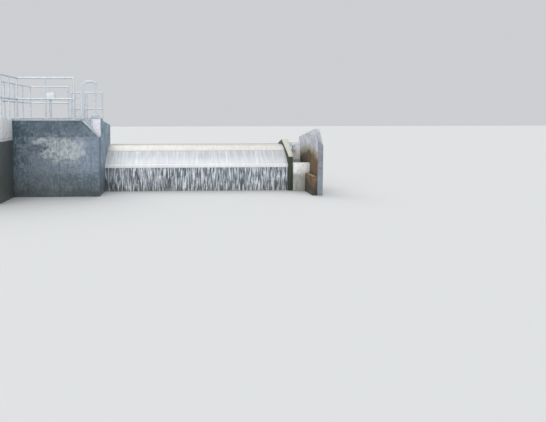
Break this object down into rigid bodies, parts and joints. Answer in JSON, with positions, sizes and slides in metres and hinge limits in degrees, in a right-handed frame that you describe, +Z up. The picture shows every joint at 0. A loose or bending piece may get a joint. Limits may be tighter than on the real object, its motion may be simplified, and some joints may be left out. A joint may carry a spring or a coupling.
{
  "type": "hydro intake weir",
  "caption": "Small concrete intake weir with a tilted overflow screen, a railed intake chamber at one end and a narrow compensation bay at the other.",
  "frame": {"origin": "on the base plane, under the middle of the crest line", "axes": "+X along the crest to the compensation bay, +Y upstream, +Z up"},
  "size_m": [8.95, 6, 3.1003],
  "materials": {
    "concrete": "smooth-formed cast concrete, matt, with lift lines and pale stains",
    "wet_concrete": "wet cast concrete, dark, with algae and mineral streaks",
    "screen_steel": "stainless steel, satin, fine wires across the slope on the screens",
    "galvanised_steel": "hot-dip galvanised, dull",
    "white_paint": "white paint, satin"
  },
  "bodies": {
    "root": {"chamber_front_wall": "concrete", "channel_side_wall": "concrete", "side_wall_plinth": "concrete", "upstream_wing_wall": "concrete", "chamber_left_wall": "concrete", "chamber_back_wall": "concrete", "back_low_wall": "concrete", "chamber_floor": "concrete", "corner_pier": "concrete", "landing_block": "concrete", "landing_cap": "concrete", "notch_back_wall": "concrete", "right_side_wall": "concrete", "weir_upstream_wall": "wet_concrete", "trough_floor": "wet_concrete", "weir_toe_wall": "wet_concrete", "divider_wall": "wet_concrete", "notch_floor": "wet_concrete", "notch_lip": "wet_concrete", "right_wall_footing": "wet_concrete", "crest_plate": "screen_steel", "toe_angle": "screen_steel", "screen_panel_1": "screen_steel", "screen_panel_2": "screen_steel", "screen_panel_3": "screen_steel", "screen_panel_4": "screen_steel", "screen_panel_5": "screen_steel", "screen_panel_6": "screen_steel", "deck_beam_1": "galvanised_steel", "deck_beam_2": "galvanised_steel", "deck_beam_3": "galvanised_steel", "deck_grating_1": "galvanised_steel", "deck_grating_2": "galvanised_steel", "deck_grating_3": "galvanised_steel", "front_handrail": "galvanised_steel", "landing_side_handrail": "galvanised_steel", "left_handrail": "galvanised_steel", "back_handrail": "galvanised_steel", "back_low_handrail": "galvanised_steel", "ladder": "galvanised_steel", "hoop_rail_1": "galvanised_steel", "hoop_rail_2": "galvanised_steel", "instrument_post": "galvanised_steel", "orifice_plate": "galvanised_steel", "instrument_box": "white_paint"}
  },
  "joints": []
}
